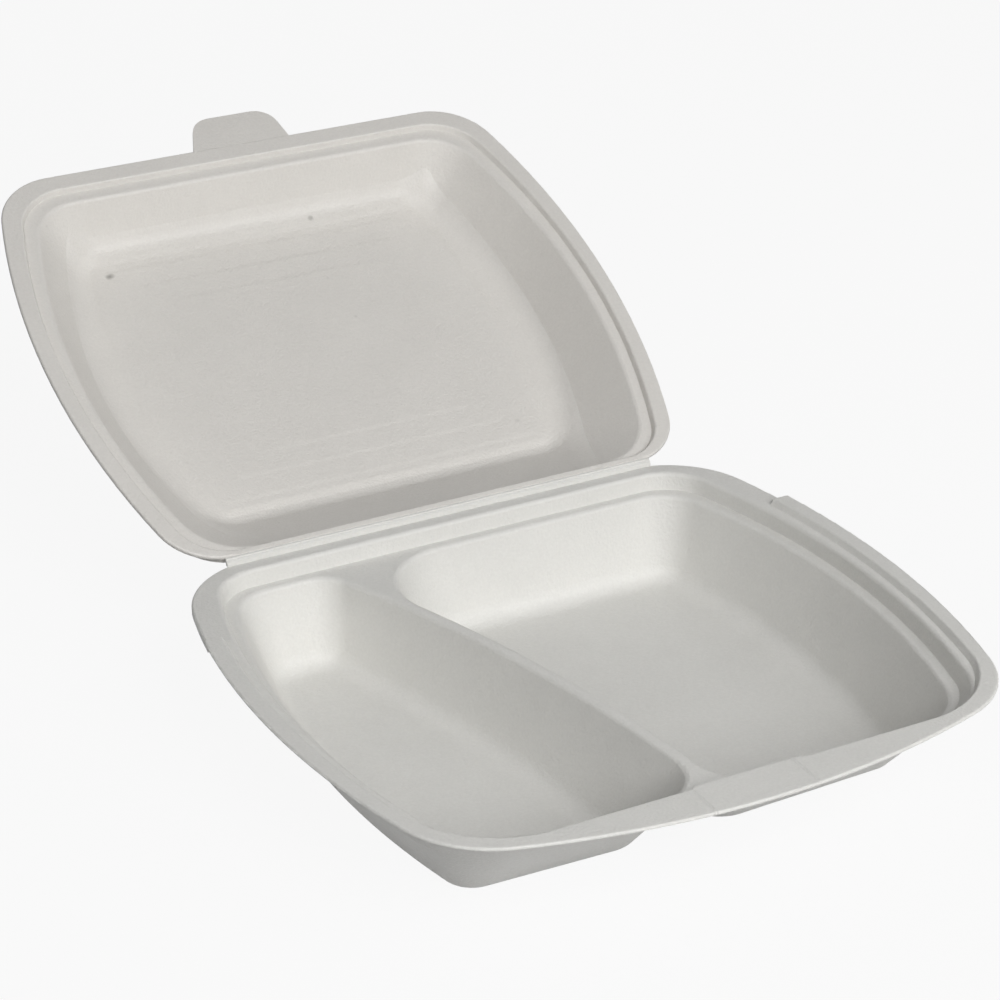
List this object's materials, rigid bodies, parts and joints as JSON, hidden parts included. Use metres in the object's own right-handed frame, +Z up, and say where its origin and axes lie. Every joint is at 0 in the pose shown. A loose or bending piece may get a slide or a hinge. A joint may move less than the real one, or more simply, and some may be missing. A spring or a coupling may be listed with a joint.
{
  "type": "foam clamshell container",
  "caption": "White foam meal box: shallow tray with a skewed divider, raised rim lip and front catch, joined by a creased strip to a domed lid with a pull tab.",
  "frame": {"origin": "on the flat underside of the tray, on the mid-plane, 70 mm in front of the fold axis", "axes": "+X along the fold, +Y from the tray front to the lid, +Z up"},
  "size_m": [0.2408, 0.42, 0.1314],
  "materials": {
    "foam": "satin skin over fine foam grain"
  },
  "bodies": {
    "tray": {"tray": "foam", "living_hinge": "foam"},
    "lid": {"lid": "foam"}
  },
  "joints": [
    {"name": "lid_fold", "type": "hinge", "parent": "tray", "child": "lid", "pos_m": [0, 0.07, 0.042], "axis": [1, 0, 0], "range_deg": [-24, 155.3], "deforming": ["living_hinge"]}
  ]
}
